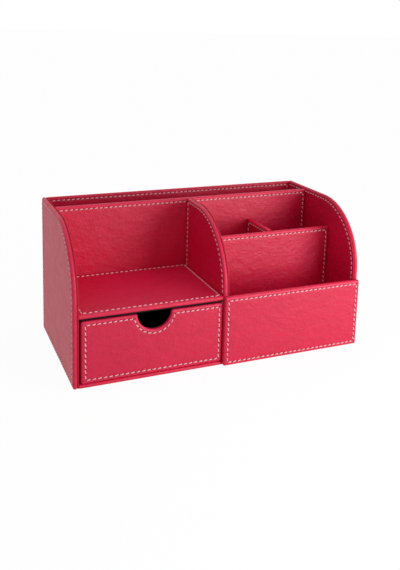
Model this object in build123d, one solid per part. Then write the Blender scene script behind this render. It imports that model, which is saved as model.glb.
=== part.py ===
from build123d import *
import os

# Desk organizer with a drawer: greyboard panels wrapped in artificial leather.
# Millimetres. X runs to the right, -Y to the front, +Z up.
# The origin is the centre of the outline on the surface that the organizer stands on.

# Overall
width = 279.6           # over the two side panels
side_depth = 134.1      # side panel, front edge to back edge
height = 136.0          # standing surface to the top of the side panels
arch_radius = 62.0      # rounded front top corner of the side panels
centre_arch = 67.5      # and of the centre panel

# Panel make-up
case = 3.8              # a wrapped board, outside to outside
cover = 0.6             # artificial leather
hem = 12.0              # leather turned in on the back of a board
board_play = 0.05       # between a board's edge and the leather round it
lining = 1.4            # backed and stitched lining of an upright
sheet = 0.8             # plain lining sheet
lining_inset = 0.4      # lining's raw edge below the wrapped edge
edge_radius = 1.4       # leather over a board's edge, on its covered face
back_bevel = 0.8        # leather over a board's edge, on its lined face
corner_radius = 1.6     # corner of a wrapped panel's outline
corner_clip = 0.9       # clipped corner of a board or lining

# Base
felt = 0.6
felt_inset = 3.5
base_case = 3.4         # wrapped base board

# Layout
left_bay = 132.0        # clear width over the drawer
shelf_top = 66.2        # top of the shelf, and of the low front panel
slot_depth = 30.3       # clear depth of the letter slot
front_pocket = 46.1     # clear depth behind the low front panel
inner_top = 134.7       # top of the centre panel and of the slot wall
divider_top = 106.5
partition_top = 107.9
partition_place = 63.3  # clear width of the left rear pocket
front_overhang = 0.2    # low front panel past the centre panel's left face

# Drawer
drawer_gap_left = 1.9
drawer_gap_right = 0.7
drawer_gap_top = 1.3
drawer_gap_bottom = 0.3
drawer_gap_back = 2.0
wall_height = 50.0      # drawer walls, from the drawer's underside
wall_board = 2.4
floor_board = 2.6
notch_radius = 15.5
notch_corner = 1.5      # rounding where the finger notch meets the top edge
wall_corner = 1.2       # leather round the tray's back corners

# Faces that the panels share
x_left = -width / 2
x_right = width / 2
y_front = case / 2 - side_depth / 2
y_back = y_front + side_depth
x_left_lining = x_left + case + lining
x_right_lining = x_right - case - lining
x_centre = x_left_lining + left_bay
x_centre_lining = x_centre + case + lining
z_foot = felt
z_base = felt + base_case
y_back_lining = y_back - case - sheet
y_slot = y_back_lining - slot_depth
y_wall = y_slot - sheet - case
y_divider = y_front + sheet + front_pocket
x_partition = x_centre_lining + partition_place
z_shelf_under = shelf_top - case - sheet

parts = {}


def outline(across, up, inset, arch=0, notch=False, fitted=False):
    """Panel outline, drawn in by inset. arch is the radius of an arched top corner, signed by its side."""
    shape = Rectangle(across - 2 * inset, up - 2 * inset)
    arched = [v for v in shape.vertices() if v.Y > 0 and v.X * arch > 0]
    plain = [v for v in shape.vertices() if v not in arched]
    if inset > 0:
        shape = chamfer(plain, corner_clip)
    elif not fitted:
        shape = fillet(plain, corner_radius)
    if arched:
        near = shape.vertices().sort_by_distance(arched[0].center())[0]
        shape = fillet(near, abs(arch) - inset)
    if notch:
        shape -= Pos(0, up / 2) * Circle(notch_radius + inset)
        lips = shape.vertices().filter_by(lambda v: v.Y > up / 4).sort_by(lambda v: abs(v.X))[:2]
        shape = chamfer(lips, corner_clip) if inset > 0 else fillet(lips, notch_corner)
    return shape


def panel(name, across, up, place, thick=case, arch=0, notch=False, fitted=False):
    """A board and the leather wrapped round it. The covered face is on place, the hems behind it.

    A fitted panel stands between others, and the leather is pulled square at its corners.
    """
    block = extrude(outline(across, up, 0, arch, notch, fitted), thick)
    block = fillet(block.faces().sort_by(Axis.Z)[0].edges(), min(edge_radius, 0.9 * corner_radius))
    block = chamfer(block.faces().sort_by(Axis.Z)[-1].edges(), back_bevel)
    core = thick - 2 * cover
    pocket = extrude(outline(across, up, cover, arch, notch), core)
    window = extrude(outline(across, up, hem, arch, notch), cover)
    board = extrude(outline(across, up, cover + board_play, arch, notch), core)
    wrap = block - Pos(0, 0, cover) * pocket - Pos(0, 0, thick - cover) * window
    parts[name + "_board"] = place.location * Pos(0, 0, cover) * board
    parts[name + "_wrap"] = place.location * wrap


def backing(name, across, up, place, thick):
    """A lining sheet glued on a panel's lined face, which lies on place."""
    parts[name] = place.location * extrude(outline(across, up, 0), thick)


def facing(x, y, z, toward):
    """Plane at a point whose normal, from covered face to lined face, runs toward an axis."""
    across = {"+X": (0, 1, 0), "-X": (0, -1, 0), "+Y": (-1, 0, 0), "-Y": (1, 0, 0), "-Z": (1, 0, 0)}
    normal = {"+X": (1, 0, 0), "-X": (-1, 0, 0), "+Y": (0, 1, 0), "-Y": (0, -1, 0), "-Z": (0, 0, -1)}
    return Plane(origin=(x, y, z), x_dir=across[toward], z_dir=normal[toward])


def box(x0, x1, y0, y1, z0, z1):
    """Block between six faces."""
    centre = Pos((x0 + x1) / 2, (y0 + y1) / 2, (z0 + z1) / 2)
    return centre * Box(x1 - x0, y1 - y0, z1 - z0)


def side_panels():
    """Left and right uprights, arched at the front, lined on the inside."""
    up = height - z_foot
    y_mid = (y_front + y_back) / 2
    z_mid = (height + z_foot) / 2
    for name, x, sign, toward in (("left_side", x_left, 1, "+X"), ("right_side", x_right, -1, "-X")):
        arch = -sign * arch_radius
        panel(name, side_depth, up, facing(x, y_mid, z_mid, toward), arch=arch)
        inner = facing(x + sign * case, y_mid, z_mid, toward)
        parts[name + "_lining"] = inner.location * extrude(
            outline(side_depth, up, lining_inset, arch), lining)


def centre_panel():
    """Upright between the drawer bay and the pockets, a little lower than the sides."""
    across = y_wall - y_front
    up = inner_top - z_base
    y_mid = (y_front + y_wall) / 2
    z_mid = (inner_top + z_base) / 2
    panel("centre_panel", across, up, facing(x_centre, y_mid, z_mid, "+X"), arch=-centre_arch)
    inner = facing(x_centre + case, y_mid, z_mid, "+X")
    parts["centre_panel_lining"] = inner.location * extrude(
        outline(across, up, lining_inset, -centre_arch), lining)


def back_and_slot_wall():
    """Back panel and, in front of it, the wall of the letter slot."""
    across = x_right_lining - x_left_lining
    low = 2 * lining_inset
    up = height - z_foot
    panel("back_panel", across, up, facing(0, y_back, (height + z_foot) / 2, "-Y"), fitted=True)
    up = height - z_base
    inner = facing(0, y_back - case, (height + z_base) / 2, "-Y")
    backing("back_panel_lining", across, up - low, inner, sheet)
    up = inner_top - z_base
    z_mid = (inner_top + z_base) / 2
    panel("slot_wall", across, up, facing(0, y_wall, z_mid, "+Y"), fitted=True)
    backing("slot_wall_lining", across, up - low, facing(0, y_wall + case, z_mid, "+Y"), sheet)


def shelf():
    """Open shelf over the drawer."""
    along = y_wall - y_front
    x_mid = x_left_lining + left_bay / 2
    y_mid = (y_front + y_wall) / 2
    panel("shelf", left_bay, along, facing(x_mid, y_mid, shelf_top, "-Z"), fitted=True)
    low = 2 * lining_inset
    under = facing(x_mid, y_mid, shelf_top - case, "-Z")
    backing("shelf_lining", left_bay - low, along - low, under, sheet)


def base():
    """Base board between the side panels, and the felt under the whole organizer."""
    across = x_right_lining - x_left_lining
    along = y_back - case - y_front
    y_mid = (y_back - case + y_front) / 2
    panel("base", across, along, facing(0, y_mid, z_base, "-Z"), thick=base_case, fitted=True)
    felt_along = side_depth - 2 * felt_inset
    y_felt = (y_front + y_back) / 2
    backing("base_felt", width - 2 * felt_inset, felt_along, facing(0, y_felt, felt, "-Z"), felt)


def front_panel():
    """Low panel across the front of the pockets, on the front edges of two uprights."""
    across = x_right - x_centre + front_overhang
    up = shelf_top - z_foot
    x_mid = x_right - across / 2
    panel("front_panel", across, up, facing(x_mid, y_front - case, (shelf_top + z_foot) / 2, "+Y"))
    clear = x_right_lining - x_centre_lining
    x_in = (x_right_lining + x_centre_lining) / 2
    z_in = (shelf_top - lining_inset + z_base) / 2
    inside = facing(x_in, y_front, z_in, "+Y")
    backing("front_panel_lining", clear, shelf_top - lining_inset - z_base, inside, sheet)


def dividers():
    """Tall divider behind the front pocket, and the partition that halves the space behind it."""
    across = x_right_lining - x_centre_lining
    x_mid = (x_right_lining + x_centre_lining) / 2
    up = divider_top - z_base
    z_mid = (divider_top + z_base) / 2
    panel("tall_divider", across, up, facing(x_mid, y_divider, z_mid, "+Y"), fitted=True)
    rear = facing(x_mid, y_divider + case, z_mid, "+Y")
    backing("tall_divider_lining", across, up - 2 * lining_inset, rear, sheet)
    y_rear = y_divider + case + sheet
    along = y_wall - y_rear
    y_mid = (y_wall + y_rear) / 2
    up = partition_top - z_base
    z_mid = (partition_top + z_base) / 2
    panel("short_partition", along, up, facing(x_partition, y_mid, z_mid, "+X"), fitted=True)
    rear = facing(x_partition + case, y_mid, z_mid, "+X")
    backing("short_partition_lining", along, up - 2 * lining_inset, rear, sheet)


def drawer():
    """Drawer: a notched, wrapped front on a board tray with a leather outside and a dark inside."""
    x0 = x_left_lining + drawer_gap_left
    x1 = x_centre - drawer_gap_right
    z0 = z_base + drawer_gap_bottom
    z1 = z_shelf_under - drawer_gap_top
    y0 = y_front + case
    y1 = y_wall - drawer_gap_back
    x_mid = (x0 + x1) / 2
    panel("drawer_front", x1 - x0, z1 - z0, facing(x_mid, y_front, (z0 + z1) / 2, "+Y"), notch=True)

    z_wall = z0 + wall_height
    z_floor = z0 + floor_board
    skin_x0 = x0 + cover
    skin_x1 = x1 - cover
    skin_y1 = y1 - cover
    in_x0 = skin_x0 + wall_board
    in_x1 = skin_x1 - wall_board
    in_y1 = skin_y1 - wall_board
    z_cap = z_wall - cover
    parts["drawer_floor"] = box(skin_x0, skin_x1, y0, skin_y1, z0, z_floor)
    parts["drawer_left_wall"] = box(skin_x0, in_x0, y0, skin_y1, z_floor, z_cap)
    parts["drawer_right_wall"] = box(in_x1, skin_x1, y0, skin_y1, z_floor, z_cap)
    parts["drawer_back_wall"] = box(in_x0, in_x1, in_y1, skin_y1, z_floor, z_cap)
    shell = box(x0, x1, y0, y1, z0, z_wall)
    shell = fillet(shell.edges().filter_by(Axis.Z).sort_by(Axis.Y)[-2:], wall_corner)
    rim = shell.faces().sort_by(Axis.Z)[-1].edges().sort_by(Axis.Y)[1:]
    shell = fillet(rim, 0.9 * cover)
    shell -= box(skin_x0, skin_x1, y0, skin_y1, z0, z_cap)
    parts["drawer_body_wrap"] = shell - box(in_x0, in_x1, y0, in_y1, z0, z_wall)

    lined_x0 = in_x0 + sheet
    lined_x1 = in_x1 - sheet
    lined_y1 = in_y1 - sheet
    z_lined = z_floor + sheet
    lined = box(in_x0, in_x1, y0, in_y1, z_floor, z_cap)
    parts["drawer_wall_lining"] = lined - box(lined_x0, lined_x1, y0, lined_y1, z_floor, z_cap)
    parts["drawer_floor_lining"] = box(lined_x0, lined_x1, y0, lined_y1, z_floor, z_lined)
    rear = facing(x_mid, y0, (z0 + z1) / 2, "+Y")
    lined = rear.location * extrude(outline(x1 - x0, z1 - z0, lining_inset, notch=True), sheet)
    parts["drawer_front_lining"] = lined & box(lined_x0, lined_x1, y0, y0 + sheet, z_lined, z1)


side_panels()
centre_panel()
back_and_slot_wall()
shelf()
base()
front_panel()
dividers()
drawer()

os.makedirs("parts", exist_ok=True)
for node, solid in parts.items():
    export_step(solid, f"parts/{node}.step")
print(len(parts), "nodes")
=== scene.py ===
import math
from itertools import pairwise

import bmesh
import bpy
from mathutils import Matrix, Vector, noise
from mathutils.geometry import delaunay_2d_cdt


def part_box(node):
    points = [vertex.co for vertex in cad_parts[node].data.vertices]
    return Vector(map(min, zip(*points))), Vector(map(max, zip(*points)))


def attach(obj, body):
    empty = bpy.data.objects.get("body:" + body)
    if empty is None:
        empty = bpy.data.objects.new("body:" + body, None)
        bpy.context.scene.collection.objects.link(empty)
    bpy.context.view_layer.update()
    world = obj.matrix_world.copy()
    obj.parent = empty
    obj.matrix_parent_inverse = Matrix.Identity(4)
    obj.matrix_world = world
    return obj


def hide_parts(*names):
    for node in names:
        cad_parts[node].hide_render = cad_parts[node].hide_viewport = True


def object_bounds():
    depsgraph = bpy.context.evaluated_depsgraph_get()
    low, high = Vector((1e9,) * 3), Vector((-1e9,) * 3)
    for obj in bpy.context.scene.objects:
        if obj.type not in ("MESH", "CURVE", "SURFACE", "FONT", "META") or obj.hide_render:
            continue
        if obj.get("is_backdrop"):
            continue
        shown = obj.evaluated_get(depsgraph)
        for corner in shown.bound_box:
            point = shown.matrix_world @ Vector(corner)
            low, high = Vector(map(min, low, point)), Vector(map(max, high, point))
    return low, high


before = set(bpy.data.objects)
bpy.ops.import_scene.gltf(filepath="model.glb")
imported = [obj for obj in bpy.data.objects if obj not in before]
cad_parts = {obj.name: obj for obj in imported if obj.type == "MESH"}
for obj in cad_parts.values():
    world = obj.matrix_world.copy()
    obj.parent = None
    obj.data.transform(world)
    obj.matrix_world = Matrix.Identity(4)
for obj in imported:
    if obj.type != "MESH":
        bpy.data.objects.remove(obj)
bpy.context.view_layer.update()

# A desk organizer of greyboard panels in red artificial leather, saddle-stitched along their edges.
# Sizes are in millimetres until a mesh is written. The panels' places come from the frame.
MM = 0.001

# Outlines
SIDE_ARCH = 62.0        # radius of the front top corner of the side panels
CENTRE_ARCH = 67.5      # and of the centre panel
FREE_CORNER = 1.6       # corner radius of a panel that stands free
FITTED_CORNER = 0.25    # of one that stands between others
LINING_CORNER = 0.7     # and of a stitched lining
LEAST_CORNER = 0.2      # left of it far inside the outline
CORNER_STEPS = 3
NOTCH_RADIUS = 15.5     # finger notch in the drawer front
NOTCH_TURN = 0.9        # share of a half circle that its stitch row runs through
NOTCH_LIP = 1.5         # rounding at both of its ends
LEAST_LIP = 0.3

# Leather
COVER = 0.6             # thickness
HEM = 12.0              # turned in behind a board
EDGE_RADIUS = 1.9       # over a board's edge, on its covered face
BACK_RADIUS = 1.4       # and on its lined face
ROUND_STEPS = 5
LINING_INSET = 0.4      # a lining is smaller than its panel by this
SKIN = 0.90             # lining's leather, over a backing set in from its edge
GROOVE = 0.2            # depth of the groove that this leaves
EDGE_HIGHLIGHT = 1.0         # share of painted highlight, a lighter red, over a board's rounded edge
BACK_HIGHLIGHT = 0.6         # where that edge turns to the lined face
FACE_HIGHLIGHT = 0.35        # and on the covered face, out from the inset below
HIGHLIGHT_LINE = 2.2
CREASE = 50             # degrees from which an edge is shaded sharp

# Unevenness of the leather
RELIEF = 0.12           # slack on a board's face
RELIEF_SIZE = 26.0
SLACK_LINE = 4.0        # from this inset to twice as far in, the slack sets in
PUFF = 0.05             # swelling between a panel's edge and its stitch row
PUFF_LINE = 2.4
PUFF_REACH = 0.8
ROW_DEPTH = 0.16        # pressed in along the row
ROW_REACH = 0.60
ROW_SHADE = 0.22        # painted shade along the row, where a hole has 1
HOLE_DEPTH = 0.42
HOLE_REACH = 0.50

# Stitches
STITCH_LINE = 3.5       # stitch row to a panel's edge
END_SHARE = 0.86        # of that, at the ends of a panel that stands between others
PITCH = 4.8
SUB = 5                 # mesh steps to a stitch
THREAD = 0.48           # half the thread's width
THREAD_HEIGHT = 0.8     # share of its width
THREAD_SIDES = 8
THREAD_SINK = 0.16
HOLE_GAP = 0.75         # from a hole to where its thread comes up
SLANT = 0.3             # each stitch leans across its row by this at both ends
GAP_JITTER = 0.12
SLANT_JITTER = 0.35     # share of SLANT
JITTER_SIZE = 0.9
JITTER_SEED = 7.3
LEAST_STITCH = 1.5
TOUCH = 0.1             # panels nearer than this touch
OVER = 0.3              # height over the leather at which a stitch would meet another panel

# Half a stitch: share of its length, height, share of its width
RISE = ((0.0, -0.34, 0.55), (0.07, -0.02, 0.85), (0.18, 0.20, 1.0), (0.36, 0.27, 1.04), (0.5, 0.29, 1.05))
STITCH = RISE + tuple((1 - share, lift, width) for share, lift, width in RISE[-2::-1])

# Rings from the rounded edge inward, and the grid that fills the rest of a face
FILL_INSET = 7.0
FILL_GRID = 6.0
FILL_STAGGER = 0.21     # share of the grid by which every other row is moved
FILL_CLEAR = 0.45       # share of the grid that stays free along the last ring
FILL_EPSILON = 1e-4
SEEN_INSETS = (2.0, 2.35, 2.7, 3.05, 3.5, 3.95, 4.4, 5.4, FILL_INSET)


# ---------------------------------------------------------------- materials

class Tree:
    """Node tree of a material or the world, with a short way to add a node and set or link its inputs."""

    def __init__(self, owner):
        owner.use_nodes = True
        self.owner = owner
        self.nodes = owner.node_tree.nodes
        self.links = owner.node_tree.links
        self.nodes.clear()

    def add(self, kind, values=(), **settings):
        node = self.nodes.new("ShaderNode" + kind)
        for key, value in settings.items():
            setattr(node, key, value)
        for key, value in dict(values).items():
            if isinstance(value, bpy.types.NodeSocket):
                self.links.new(value, node.inputs[key])
            else:
                node.inputs[key].default_value = value
        return node

    def place(self, stretch=(1, 1, 1)):
        """Coordinates fixed to the piece, in metres."""
        at = self.add("TexCoord").outputs["Object"]
        return self.add("Mapping", {"Vector": at, "Scale": stretch}).outputs["Vector"]

    def noise(self, scale, detail=2.0, roughness=0.5, stretch=(1, 1, 1)):
        values = {"Vector": self.place(stretch), "Scale": scale, "Detail": detail, "Roughness": roughness}
        return self.add("TexNoise", values).outputs["Fac"]

    def cells(self, scale):
        values = {"Vector": self.place(), "Scale": scale}
        return self.add("TexVoronoi", values, feature="SMOOTH_F1").outputs["Distance"]

    def span(self, value, low, high, to_low=0.0, to_high=1.0):
        values = {"Value": value, "From Min": low, "From Max": high, "To Min": to_low, "To Max": to_high}
        return self.add("MapRange", values).outputs["Result"]

    def maths(self, operation, a, b):
        return self.add("Math", {0: a, 1: b}, operation=operation).outputs["Value"]

    def mix(self, factor, a, b):
        """Mixed colour. The Mix node's colour sockets share their names with its other types."""
        return self.add("Mix", {0: factor, 6: a, 7: b}, data_type="RGBA").outputs[2]

    def bump(self, height, distance, strength=1.0, under=None):
        values = {"Height": height, "Distance": distance, "Strength": strength}
        if under is not None:
            values["Normal"] = under
        return self.add("Bump", values).outputs["Normal"]

    def attribute(self, name):
        return self.add("Attribute", attribute_name=name, attribute_type="GEOMETRY").outputs["Fac"]

    def whiteness(self):
        """1 for rays of the camera, of reflections and of transmission."""
        path = self.add("LightPath")
        seen = self.maths("MAXIMUM", path.outputs["Is Camera Ray"], path.outputs["Is Glossy Ray"])
        return self.maths("MAXIMUM", seen, path.outputs["Is Transmission Ray"])

    def finish(self, values):
        shader = self.add("BsdfPrincipled", values)
        self.add("OutputMaterial", {"Surface": shader.outputs["BSDF"]})
        return self.owner


def material_tree(name):
    return Tree(bpy.data.materials.new(name))


RED = (0.720, 0.0005, 0.0560, 1)
RED_DEEP = (0.590, 0.0003, 0.0400, 1)
# painted highlight: lighter red laid on the rounded edges
RED_EDGE_HIGHLIGHT = (0.820, 0.0080, 0.0750, 1)
# painted shade: dark red laid in the stitch holes and along the rows
RED_STITCH_SHADE = (0.130, 0.0005, 0.0080, 1)
CLOUD_SHARE = 0.65      # of large clouds in the leather's colour, the rest being fine ones


def leather(name, painted_light):
    """Red artificial leather: clouded colour, pebbles, pores and slight slack.

    With painted light, the leather is lighter at the panels' rounded edges, a painted highlight, and darker
    at their stitch rows and holes, a painted shade.
    """
    t = material_tree(name)
    clouds = t.span(t.noise(55, detail=4.0, roughness=0.6, stretch=(1, 1, 2.0)), 0.30, 0.70)
    fine = t.span(t.noise(260, detail=3.0, roughness=0.6), 0.30, 0.70)
    large_part = t.maths("MULTIPLY", clouds, CLOUD_SHARE)
    fine_part = t.maths("MULTIPLY", fine, 1 - CLOUD_SHARE)
    mottled = t.maths("ADD", large_part, fine_part)
    colour = t.mix(mottled, RED_DEEP, RED)
    if painted_light:
        # painted highlight on the rounded edges, then painted shade at the stitch rows and holes
        edge_highlight = t.maths("MULTIPLY", t.attribute("edge"), t.span(fine, 0.0, 1.0, 0.25, 0.75))
        colour = t.mix(edge_highlight, colour, RED_EDGE_HIGHLIGHT)
        colour = t.mix(t.attribute("stitch_shade"), colour, RED_STITCH_SHADE)
    roughness = t.span(mottled, 0.0, 1.0, 0.52, 0.45)
    slack = t.bump(t.noise(115, detail=4.0, roughness=0.65, stretch=(1, 1, 1.3)), 0.0008)
    pebbles = t.bump(t.cells(950), 0.00016, strength=0.9, under=slack)
    pores = t.bump(t.noise(2600), 0.00003, strength=0.6, under=pebbles)
    return t.finish({"Base Color": colour, "Roughness": roughness, "Normal": pores, "IOR": 1.5})


def raw_edge():
    """Cut edge of a stitched lining: fibres dyed a dull red."""
    t = material_tree("raw_edge")
    fibres = t.noise(900, detail=3.0, roughness=0.6)
    colour = t.mix(fibres, (0.38, 0.006, 0.024, 1), (0.58, 0.030, 0.060, 1))
    rough = t.bump(fibres, 0.00015)
    return t.finish({"Base Color": colour, "Roughness": 0.9, "Specular IOR Level": 0.2, "Normal": rough})


def thread():
    """Pale pink waxed thread."""
    t = material_tree("thread")
    soil = t.noise(420)
    colour = t.mix(soil, (1.0, 0.46, 0.53, 1), (1.0, 0.64, 0.69, 1))
    twist = t.bump(t.noise(2400, detail=1.0), 0.00008)
    return t.finish({"Base Color": colour, "Roughness": 0.7, "Specular IOR Level": 0.15, "Normal": twist})


def pile(name, dark, light):
    """Short pile: black flocked paper or felt."""
    t = material_tree(name)
    fibres = t.noise(1500, detail=3.0, roughness=0.7)
    values = {"Base Color": t.mix(fibres, dark, light), "Normal": t.bump(fibres, 0.0003)}
    values.update({"Roughness": 0.95, "Specular IOR Level": 0.15, "Sheen Weight": 0.1})
    return t.finish(values)


def greyboard():
    """Grey card with flecks."""
    t = material_tree("greyboard")
    flecks = t.span(t.noise(700, detail=4.0, roughness=0.7), 0.35, 0.65)
    colour = t.mix(flecks, (0.30, 0.27, 0.23, 1), (0.46, 0.42, 0.37, 1))
    return t.finish({"Base Color": colour, "Roughness": 0.9, "Normal": t.bump(flecks, 0.0001)})


# leather with painted highlight on its edges and painted shade at its stitches, and leather without
LEATHER_PAINTED_LIGHT = leather("leather_painted_light", True)
LEATHER_PLAIN = leather("leather_plain", False)
RAW_EDGE = raw_edge()
THREAD_MATERIAL = thread()
# black flock of the drawer's linings, also laid under the shelf as painted shade
FLOCK_AND_SHADE = pile("flock", (0.010, 0.005, 0.006, 1), (0.034, 0.018, 0.020, 1))
FELT = pile("felt", (0.012, 0.010, 0.010, 1), (0.045, 0.038, 0.040, 1))
GREYBOARD = greyboard()


# ---------------------------------------------------------------- a panel's place and outline

class Face:
    """Where a panel's seen face lies: origin at its middle, u to the right, v up, n out of it."""

    def __init__(self, node, n):
        low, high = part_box(node)
        low, high = low / MM, high / MM
        self.n = Vector(n)
        self.v = Vector((0, 1, 0)) if self.n.z else Vector((0, 0, 1))
        self.u = self.v.cross(self.n)
        size = high - low
        self.half_u = abs(size.dot(self.u)) / 2
        self.half_v = abs(size.dot(self.v)) / 2
        self.thick = abs(size.dot(self.n))
        self.origin = (low + high) / 2 + self.n * self.thick / 2

    def front(self):
        """Side of u that runs to the front, where the uprights are arched."""
        return 1 if self.u.y < 0 else -1

    def at(self, x, y, w):
        return self.origin + self.u * x + self.v * y + self.n * w


def sweep(cx, cy, radius, start, end, count):
    """Points on an arc, in degrees, without its end."""
    turn = [math.radians(start + (end - start) * k / count) for k in range(count)]
    return [(cx + radius * math.cos(a), cy + radius * math.sin(a)) for a in turn]


def straight(a, b, count):
    """Points from a towards b, without b."""
    return [(a[0] + (b[0] - a[0]) * k / count, a[1] + (b[1] - a[1]) * k / count) for k in range(count)]


class Outline:
    """A panel's outline, seen from its face, counter-clockwise, with the same points in step at each inset.

    An arch rounds the front top corner. A notch is centred on the top edge. The marks number the points
    of each stitch from 0 at its hole, and are -1 where no stitch runs.
    """

    def __init__(self, face, corner, stitch_line, arch_radius=0.0, notch=0.0, ends=1.0):
        self.half_u = face.half_u
        self.half_v = face.half_v
        self.corner = corner
        self.arch = face.front() if arch_radius else 0
        self.arch_radius = arch_radius
        self.notch = notch
        self.stitch_line = stitch_line
        self.ends = ends
        self.counts = {}
        self.trace(stitch_line)

    def steps(self, key, length):
        """Mesh steps of a stretch, a whole number of stitches. The first trace sets them."""
        if key not in self.counts:
            self.counts[key] = SUB * max(1, round(length / PITCH))
        return self.counts[key]

    def trace(self, inset):
        """Points of the outline, moved inward by an inset."""
        a = self.half_u - inset * self.ends
        b = self.half_v - inset
        points = []
        self.marks = []

        def add(stretch, stitched):
            points.extend(stretch)
            self.marks.extend([k % SUB if stitched else -1 for k in range(len(stretch))])

        def arched(sx, sy):
            return sx == self.arch and sy > 0

        def radius_at(sx, sy):
            return self.arch_radius - inset if arched(sx, sy) else max(self.corner - inset, LEAST_CORNER)

        def edge(key, start, end):
            add(straight(start, end, self.steps(key, math.dist(start, end))), True)

        def corner(sx, sy, start):
            r = radius_at(sx, sy)
            count = CORNER_STEPS
            if arched(sx, sy):
                count = self.steps("arch", math.pi / 2 * (self.arch_radius - self.stitch_line))
            add(sweep(sx * (a - r), sy * (b - r), r, start, start + 90, count), arched(sx, sy))

        low_left = radius_at(-1, -1)
        low_right = radius_at(1, -1)
        top_right = radius_at(1, 1)
        top_left = radius_at(-1, 1)
        edge("low", (-a + low_left, -b), (a - low_right, -b))
        corner(1, -1, -90)
        edge("right", (a, -b + low_right), (a, b - top_right))
        corner(1, 1, 0)
        if self.notch:
            self.trace_notch(inset, (a - top_right, b), (-a + top_left, b), add, edge)
        else:
            edge("top", (a - top_right, b), (-a + top_left, b))
        corner(-1, 1, 90)
        edge("left", (-a, b - top_left), (-a, -b + low_left))
        corner(-1, -1, 180)
        return points

    def trace_notch(self, inset, right, left, add, edge):
        """Top edge with a half-round notch between rounded lips."""
        rho = self.notch + inset
        lip = max(NOTCH_LIP - inset, LEAST_LIP)
        x = math.sqrt((rho + lip) ** 2 - (lip + inset) ** 2)
        top = self.half_v - inset
        toward = math.degrees(math.atan2(inset + lip, -x))
        dip = math.degrees(math.atan2(-(inset + lip), x))
        count = self.steps("notch", math.pi * (self.notch + self.stitch_line) * NOTCH_TURN)
        edge("top_right", right, (x, top))
        add(sweep(x, top - lip, lip, 90, toward, CORNER_STEPS), False)
        add(sweep(0, self.half_v, rho, dip, -180 - dip, count), True)
        add(sweep(-x, top - lip, lip, 180 - toward, 90, CORNER_STEPS), False)
        edge("top_left", (-x, top), left)


# ---------------------------------------------------------------- meshes

def make_mesh(name, points, faces, materials):
    """Mesh of points in metres."""
    mesh = bpy.data.meshes.new(name)
    mesh.from_pydata(points, [], faces)
    for material in materials:
        mesh.materials.append(material)
    return mesh


def shade(mesh, crease=None):
    """Turns a mesh's faces outward and shades them smooth, but keeps edges sharp from a crease's degrees."""
    work = bmesh.new()
    work.from_mesh(mesh)
    bmesh.ops.recalc_face_normals(work, faces=work.faces)
    for face in work.faces:
        face.smooth = True
    if crease:
        for edge in work.edges:
            edge.smooth = len(edge.link_faces) == 2 and edge.calc_face_angle(0) < math.radians(crease)
    work.to_mesh(mesh)
    work.free()


def put(name, data):
    """New object in the scene, from a mesh, a light or a camera."""
    made = bpy.data.objects.new(name, data)
    bpy.context.scene.collection.objects.link(made)
    return made


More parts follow.
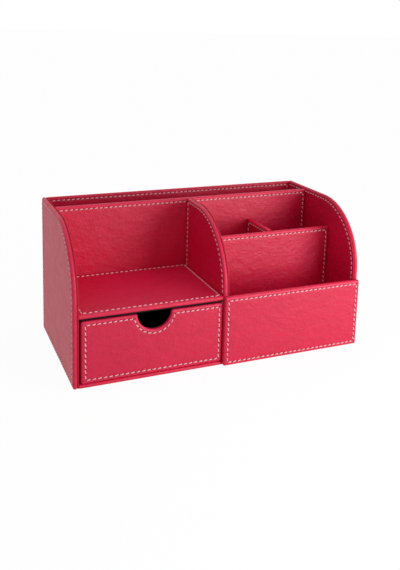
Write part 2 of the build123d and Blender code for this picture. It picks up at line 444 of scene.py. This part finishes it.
class Builder:
    """Collects points with their marks, and faces with their material's slot."""

    def __init__(self, face):
        self.face = face
        self.points = []
        self.stitch_shade = []
        self.edge = []
        self.faces = []
        self.slots = []

    def point(self, x, y, w, stitch_shade=0.0, edge=0.0):
        self.points.append(self.face.at(x, y, w) * MM)
        self.stitch_shade.append(stitch_shade)
        self.edge.append(edge)
        return len(self.points) - 1

    def ring(self, flat, heights, stitch_shades, edge):
        return [self.point(x, y, w, stitch_shade, edge) for (x, y), w, stitch_shade in zip(flat, heights, stitch_shades)]

    def band(self, outer, inner, slot=0):
        count = len(outer)
        for k in range(count):
            m = (k + 1) % count
            self.faces.append((outer[k], outer[m], inner[m], inner[k]))
            self.slots.append(slot)

    def fill(self, ring, flat):
        """Face inside a ring, meshed on a grid so that it can be uneven."""
        count = len(ring)
        xs = [p[0] for p in flat]
        ys = [p[1] for p in flat]
        inside = []
        for i in range(1, math.ceil((max(xs) - min(xs)) / FILL_GRID)):
            for j in range(1, math.ceil((max(ys) - min(ys)) / FILL_GRID)):
                x = min(xs) + i * FILL_GRID + FILL_STAGGER * FILL_GRID * (j % 2)
                y = min(ys) + j * FILL_GRID
                if clear_of(x, y, flat, FILL_CLEAR * FILL_GRID):
                    inside.append((x, y))
        given = [Vector(p) for p in flat + inside]
        inside_only = 1
        places, _, triangles, origins, _, _ = delaunay_2d_cdt(
            given, [], [list(range(count))], inside_only, FILL_EPSILON)
        index = []
        for place, origin in zip(places, origins):
            on_ring = [o for o in origin if o < count]
            if on_ring:
                index.append(ring[on_ring[0]])
            else:
                index.append(self.point(place.x, place.y, relief(self.face, place.x, place.y)))
        for triangle in triangles:
            self.faces.append(tuple(index[k] for k in triangle))
            self.slots.append(0)

    def seen(self, outline, insets):
        """Rings from a panel's rounded edge inward, and the face inside them. Returns the first ring."""
        rings = []
        for inset in insets:
            flat = outline.trace(inset)
            heights, stitch_shades = row_heights(outline, inset)
            slack = max(0.0, min(1.0, (inset - SLACK_LINE) / SLACK_LINE))
            puffed = PUFF * math.exp(-(((inset - PUFF_LINE) / PUFF_REACH) ** 2))
            heights = [h + puffed + slack * relief(self.face, x, y) for h, (x, y) in zip(heights, flat)]
            rings.append(self.ring(flat, heights, stitch_shades, FACE_HIGHLIGHT if inset < HIGHLIGHT_LINE else 0.0))
        for outer, inner in pairwise(rings):
            self.band(outer, inner)
        self.fill(rings[-1], outline.trace(insets[-1]))
        return rings[0]

    def shell(self, outline, last, profile):
        """Closes a panel from its first ring round its edge and back.

        The profile's rows say inset, height, share of painted highlight, and the material's slot.
        """
        for inset, w, edge, slot in profile:
            flat = outline.trace(inset)
            here = self.ring(flat, [w] * len(flat), [0.0] * len(flat), edge)
            self.band(here, last, slot)
            last = here
        self.faces.append(tuple(last))
        self.slots.append(slot)

    def build(self, name, materials):
        mesh = make_mesh(name, self.points, self.faces, materials)
        mesh.polygons.foreach_set("material_index", self.slots)
        # point attributes for the leather's colour: painted shade at the stitch rows and holes, painted
        # highlight at the edges
        for key, values in (("stitch_shade", self.stitch_shade), ("edge", self.edge)):
            mesh.attributes.new(key, "FLOAT", "POINT").data.foreach_set("value", values)
        shade(mesh, CREASE)
        return put(name, mesh)


def clear_of(x, y, polygon, margin):
    """True if a point is inside a polygon and not near its points."""
    inside = False
    for (x0, y0), (x1, y1) in pairwise(polygon + polygon[:1]):
        if (x - x0) ** 2 + (y - y0) ** 2 < margin ** 2:
            return False
        if (y0 > y) != (y1 > y) and x < (x1 - x0) * (y - y0) / (y1 - y0) + x0:
            inside = not inside
    return inside


def row_heights(outline, inset):
    """Height and painted shade of each point near a stitch row, by how far its ring is from the row."""
    off = abs(inset - outline.stitch_line)
    near = math.exp(-((off / ROW_REACH) ** 2))
    at_hole = math.exp(-((off / HOLE_REACH) ** 2))
    holes = [at_hole if mark == 0 else 0.0 for mark in outline.marks]
    heights = [-ROW_DEPTH * near - HOLE_DEPTH * hole for hole in holes]
    stitch_shades = [min(1.0, hole + ROW_SHADE * near) for hole in holes]
    return heights, stitch_shades


def relief(face, x, y):
    """Slack in the leather, in millimetres, the same at each run."""
    return RELIEF * noise.noise(face.at(x, y, 0) / RELIEF_SIZE)


def wrap(name, n, arch=0.0, notch=0.0, fitted=False):
    """Leather wrapped round a board, with its hem turned in behind. Returns it with its outline and face."""
    node = name + "_wrap"
    face = Face(node, n)
    back = -face.thick
    corner = FITTED_CORNER if fitted else FREE_CORNER
    outline = Outline(face, corner, STITCH_LINE, arch, notch, END_SHARE if fitted else 1.0)
    profile = []
    for k in range(ROUND_STEPS + 1):
        turn = math.pi / 2 * k / ROUND_STEPS
        height = EDGE_RADIUS * (math.cos(turn) - 1)
        profile.append((EDGE_RADIUS * (1 - math.sin(turn)), height, EDGE_HIGHLIGHT, 0))
    for k in range(ROUND_STEPS):
        turn = math.pi / 2 * k / (ROUND_STEPS - 1)
        height = back + BACK_RADIUS * (1 - math.sin(turn))
        profile.append((BACK_RADIUS * (1 - math.cos(turn)), height, BACK_HIGHLIGHT, 0))
    for inset, height in ((HEM, back), (HEM, back + COVER), (COVER, back + COVER), (COVER, -COVER)):
        profile.append((inset, height, 0.0, 0))
    builder = Builder(face)
    builder.shell(outline, builder.seen(outline, SEEN_INSETS), profile)
    piece = builder.build(name + "_leather", [LEATHER_PAINTED_LIGHT])
    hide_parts(node)
    return piece, outline, face


def lined(name, n, arch=0.0):
    """Stitched lining of an upright or the back: leather over a backing whose cut edge lies in a groove."""
    face = Face(name, n)
    arch_radius = arch - LINING_INSET if arch else 0.0
    outline = Outline(face, LINING_CORNER, STITCH_LINE - LINING_INSET, arch_radius)
    insets = [inset - LINING_INSET for inset in SEEN_INSETS]
    skin = [(0.30, -0.02, BACK_HIGHLIGHT, 0), (0.06, -0.08, EDGE_HIGHLIGHT, 0), (0.0, -0.20, EDGE_HIGHLIGHT, 0)]
    backing = [(0.0, -SKIN, 0.0, 1), (GROOVE, -SKIN, 0.0, 1), (GROOVE, -face.thick, 0.0, 1)]
    builder = Builder(face)
    builder.shell(outline, builder.seen(outline, insets), skin + backing)
    piece = builder.build(name + "_sheet", [LEATHER_PAINTED_LIGHT, RAW_EDGE])
    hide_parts(name)
    return piece, outline, face


BOXES = {}
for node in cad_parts:
    if not node.startswith("drawer"):
        low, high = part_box(node)
        BOXES[node] = (low / MM, high / MM)


def hidden(place, own):
    """True if a stitch lies where a panel other than its own stands against its face."""
    for node, (low, high) in BOXES.items():
        inside = all(low[i] - TOUCH < place[i] < high[i] + TOUCH for i in range(3))
        if inside and not node.startswith(own):
            return True
    return False


def stitch_runs(outline):
    """Both ends of each stitch of a row, slanted and with slight jitter, in the plane of the face."""
    flat = outline.trace(outline.stitch_line)
    holes = [k for k, mark in enumerate(outline.marks) if mark == 0]
    for k, first in enumerate(holes):
        start = Vector(flat[first])
        end = Vector(flat[holes[(k + 1) % len(holes)]])
        if outline.marks[(first + SUB) % len(flat)] < 0:
            end = Vector(flat[(first + SUB) % len(flat)])
        run = end - start
        if run.length < LEAST_STITCH:
            continue
        along = run.normalized()
        across = Vector((-along.y, along.x))
        jitter = noise.noise(Vector((start.x, start.y, JITTER_SEED)) * JITTER_SIZE)
        lean = SLANT * (1.0 + SLANT_JITTER * jitter)
        yield (start + along * (HOLE_GAP + GAP_JITTER * jitter) - across * lean,
               end - along * (HOLE_GAP - GAP_JITTER * jitter) + across * lean)


def stitches(name, own, outline, face):
    """Thread along an outline's stitch row: one rounded stitch from each hole to the next."""
    points = []
    faces = []
    sides = range(THREAD_SIDES)
    for a, b in stitch_runs(outline):
        if hidden(face.at(*((a + b) / 2), OVER), own):
            continue
        along = (b - a).normalized()
        across = Vector((-along.y, along.x))
        first = len(points)
        for share, lift, width in STITCH:
            middle = a + (b - a) * share
            for side in sides:
                turn = 2 * math.pi * side / THREAD_SIDES
                p = middle + across * (THREAD * width * math.cos(turn))
                height = lift - THREAD_SINK + THREAD_HEIGHT * THREAD * width * math.sin(turn)
                points.append(face.at(p.x, p.y, height) * MM)
        last = len(points) - THREAD_SIDES
        for low in range(first, last, THREAD_SIDES):
            high = low + THREAD_SIDES
            for side in sides:
                after = (side + 1) % THREAD_SIDES
                faces.append((low + side, low + after, high + after, high + side))
        faces.append(tuple(first + side for side in reversed(sides)))
        faces.append(tuple(last + side for side in sides))
    mesh = make_mesh(name, points, faces, [THREAD_MATERIAL])
    shade(mesh)
    return put(name, mesh)


# ---------------------------------------------------------------- the organizer

UPRIGHTS = {"left_side": (-1, SIDE_ARCH), "right_side": (1, SIDE_ARCH), "centre_panel": (-1, CENTRE_ARCH)}
WALLS = {"back_panel": (0, 1, 0), "slot_wall": (0, -1, 0), "tall_divider": (0, -1, 0),
         "shelf": (0, 0, 1), "short_partition": (-1, 0, 0), "base": (0, 0, 1)}
# shelf_lining takes the black flock as painted shade in the gap above the drawer. The drawer's linings are
# black flock.
KEPT = {"base_felt": FELT, "drawer_wall_lining": FLOCK_AND_SHADE, "drawer_floor_lining": FLOCK_AND_SHADE,
        "drawer_front_lining": FLOCK_AND_SHADE, "shelf_lining": FLOCK_AND_SHADE, "drawer_body_wrap": LEATHER_PLAIN}


def dress(name, n, body, stitched=True, **form):
    piece, outline, face = wrap(name, n, **form)
    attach(piece, body)
    if stitched:
        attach(stitches(name + "_thread", name, outline, face), body)


def dress_lining(name, n, own, **form):
    piece, outline, face = lined(name, n, **form)
    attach(piece, "housing")
    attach(stitches(name + "_thread", own, outline, face), "housing")


for name, (side, arch) in UPRIGHTS.items():
    dress(name, (side, 0, 0), "housing", arch=arch)
    dress_lining(name + "_lining", (-side, 0, 0), name, arch=arch)
for name, n in WALLS.items():
    dress(name, n, "housing", stitched=name != "base", fitted=True)
dress_lining("back_panel_lining", (0, -1, 0), "back_panel")
dress("front_panel", (0, -1, 0), "housing")
dress("drawer_front", (0, -1, 0), "drawer", notch=NOTCH_RADIUS)

for name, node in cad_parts.items():
    if name in KEPT:
        material = KEPT[name]
    elif name.endswith("_lining"):
        material = LEATHER_PLAIN
    else:
        material = GREYBOARD
    node.data.materials.clear()
    node.data.materials.append(material)


# ---------------------------------------------------------------- stage, light and camera, in metres

WHITE = (1, 1, 1, 1)
FLOOR_HALF = 30.0
FLOOR_SHADE = 0.90      # the floor's own colour, which the object's shadow darkens
GLOW = 1.02             # white that the camera and reflections see instead
GLOW_SHARE = 0.93       # by this share, so that a faint shadow stays
HORIZON = 0.11          # strength of the world's light from below LOW_SKY
ZENITH = 0.84           # and from above HIGH_SKY
LOW_SKY = 0.35          # where 0 is level and 1 is straight up
HIGH_SKY = 0.80

KEY_PLACE = (0.39, -0.56, 0.17)
KEY_TARGET = (0, 0, 0.06)
KEY_SIZE = 0.35
KEY_POWER = 2.8         # watts

# Camera from the fit of the object's corners in the photograph
PICTURE = (400, 570)    # pixels
FOCAL = 711.18          # pixels
AXIS = (197.51, 150.0)  # where the optical axis meets the picture, in pixels from its top left corner
TURN = 0.3970           # radians to the right of +Y
TILT = 0.1725           # radians downward
ROLL = -0.0249
EYE = (-0.26190, -0.61317, 0.30439)
SENSOR = 36.0           # millimetres
NEAR = 0.01


def make_floor():
    """Floor that is white to the camera and in reflections, with a faint shadow of the object."""
    t = material_tree("floor")
    plain = t.add("BsdfDiffuse", {"Color": (FLOOR_SHADE, FLOOR_SHADE, FLOOR_SHADE, 1)})
    glow = t.add("Emission", {"Color": WHITE, "Strength": GLOW})
    factor = t.maths("MULTIPLY", t.whiteness(), GLOW_SHARE)
    mixed = t.add("MixShader", {0: factor, 1: plain.outputs["BSDF"], 2: glow.outputs["Emission"]})
    t.add("OutputMaterial", {"Surface": mixed.outputs["Shader"]})
    corners = [(x * FLOOR_HALF, y * FLOOR_HALF, 0) for x, y in ((-1, -1), (1, -1), (1, 1), (-1, 1))]
    floor = put("floor", make_mesh("floor", corners, [(0, 1, 2, 3)], [t.owner]))
    floor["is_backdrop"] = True


def make_world():
    """White to the camera and in reflections. As a light it is soft, and comes mostly from above."""
    world = bpy.data.worlds.new("world")
    t = Tree(world)
    direction = t.add("TexCoord").outputs["Generated"]
    height = t.add("SeparateXYZ", {0: direction}).outputs["Z"]
    light = t.span(height, LOW_SKY, HIGH_SKY, HORIZON, ZENITH)
    level = t.span(t.whiteness(), 0.0, 1.0, light, 1.0)
    background = t.add("Background", {"Color": WHITE, "Strength": level})
    t.add("OutputWorld", {"Surface": background.outputs["Background"]})
    bpy.context.scene.world = world


def make_lamp():
    data = bpy.data.lights.new("key", "AREA")
    data.size = KEY_SIZE
    data.energy = KEY_POWER
    light = put("key", data)
    light.location = KEY_PLACE
    light.rotation_euler = (Vector(KEY_TARGET) - Vector(KEY_PLACE)).to_track_quat("-Z", "Y").to_euler()


def make_camera():
    width, height = PICTURE
    forward = Vector((math.sin(TURN) * math.cos(TILT), math.cos(TURN) * math.cos(TILT), -math.sin(TILT)))
    right = Vector((math.cos(TURN), -math.sin(TURN), 0))
    down = forward.cross(right)
    across = right * math.cos(ROLL) + down * math.sin(ROLL)
    low = down * math.cos(ROLL) - right * math.sin(ROLL)
    data = bpy.data.cameras.new("camera")
    data.sensor_width = SENSOR
    data.lens = FOCAL / height * SENSOR
    data.shift_x = (width / 2 - AXIS[0]) / height
    data.shift_y = (AXIS[1] - height / 2) / height
    data.clip_start = NEAR
    camera = put("camera", data)
    camera.matrix_world = Matrix.Translation(EYE) @ Matrix((across, -low, -forward)).transposed().to_4x4()
    bpy.context.scene.camera = camera


make_floor()
make_world()
make_lamp()
make_camera()
bpy.context.scene.view_settings.view_transform = "Standard"

low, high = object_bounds()
